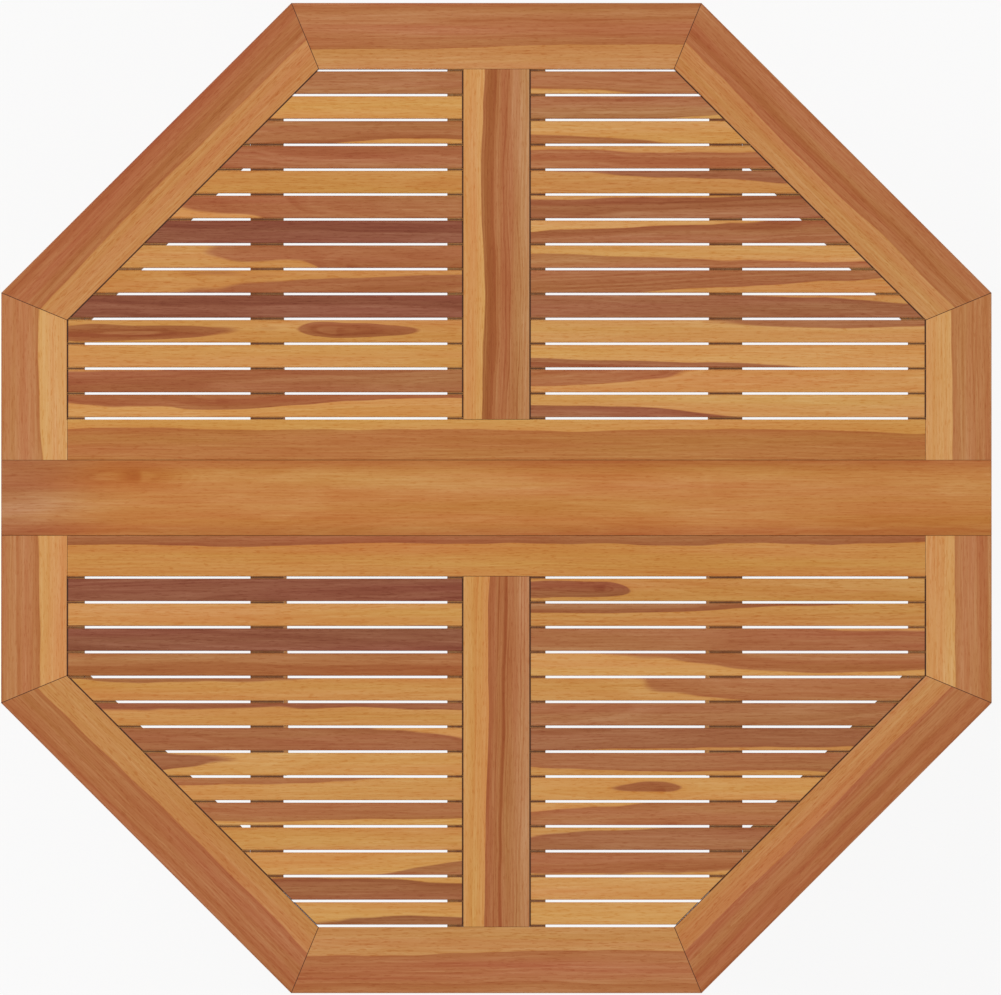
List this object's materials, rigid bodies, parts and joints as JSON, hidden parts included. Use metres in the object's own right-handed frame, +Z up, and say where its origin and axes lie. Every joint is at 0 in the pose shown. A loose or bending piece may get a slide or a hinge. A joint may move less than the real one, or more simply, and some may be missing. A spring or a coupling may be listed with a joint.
{
  "type": "folding garden table",
  "caption": "Eight-sided slatted hardwood garden table: a centre board with drop leaves on butt hinges, carried by crossed legs that close as the leaves fold down.",
  "frame": {"origin": "on the floor, below the middle of the centre board", "axes": "+Z up, +X along the centre board and the slats, +Y towards the rear leaf"},
  "size_m": [1.2, 1.2, 0.75],
  "materials": {
    "teak_boards": "oiled",
    "teak_slats": "oiled",
    "teak_under": "oiled",
    "brass": "satin",
    "steel": "satin"
  },
  "bodies": {
    "centre": {"centre_board": "teak_boards", "centre_hinge_plates": "brass", "hinge_pins": "brass", "centre_hinge_screws": "brass"},
    "rear_leaf": {"rear_outer_rail": "teak_boards", "rear_left_diagonal_board": "teak_boards", "rear_left_side_board": "teak_boards", "rear_left_slats": "teak_slats", "rear_left_batten": "teak_under", "rear_right_diagonal_board": "teak_boards", "rear_right_side_board": "teak_boards", "rear_right_slats": "teak_slats", "rear_right_batten": "teak_under", "rear_hinge_rail": "teak_boards", "rear_stile": "teak_boards", "rear_slat_ledges": "teak_under", "rear_hinge_plates": "brass", "rear_hinge_screws": "brass", "rear_pivot_blocks": "teak_under", "rear_leg_bolts": "steel"},
    "front_leaf": {"front_outer_rail": "teak_boards", "front_left_diagonal_board": "teak_boards", "front_left_side_board": "teak_boards", "front_left_slats": "teak_slats", "front_left_batten": "teak_under", "front_right_diagonal_board": "teak_boards", "front_right_side_board": "teak_boards", "front_right_slats": "teak_slats", "front_right_batten": "teak_under", "front_hinge_rail": "teak_boards", "front_stile": "teak_boards", "front_slat_ledges": "teak_under", "front_hinge_plates": "brass", "front_hinge_screws": "brass", "front_pivot_blocks": "teak_under", "front_leg_bolts": "steel"},
    "rear_legs": {"rear_left_leg": "teak_under", "rear_right_leg": "teak_under", "crossing_rail": "teak_under", "crossing_screws": "steel"},
    "front_legs": {"front_left_leg": "teak_under", "front_right_leg": "teak_under", "crossing_barrels": "steel"}
  },
  "joints": [
    {"name": "fold", "type": "hinge", "parent": "centre", "child": "rear_leaf", "pos_m": [0, 0.0457, 0.718], "axis": [1, 0, 0], "range_deg": [-90, 0]},
    {"name": "front_leaf_hinge", "type": "hinge", "parent": "centre", "child": "front_leaf", "pos_m": [0, -0.0457, 0.718], "axis": [1, 0, 0], "range_deg": [0, 90]},
    {"name": "rear_leg_pivot", "type": "hinge", "parent": "rear_leaf", "child": "rear_legs", "pos_m": [0, 0.3, 0.694], "axis": [1, 0, 0], "range_deg": [0, 128.14]},
    {"name": "front_leg_pivot", "type": "hinge", "parent": "front_leaf", "child": "front_legs", "pos_m": [0, -0.3, 0.694], "axis": [1, 0, 0], "range_deg": [-128.14, 0]}
  ],
  "couplings": [
    {"joint": "front_leaf_hinge", "follows": "fold", "ratio": -1},
    {"joint": "rear_leg_pivot", "follows": "fold", "ratio": -1.4237},
    {"joint": "front_leg_pivot", "follows": "fold", "ratio": 1.4237}
  ]
}
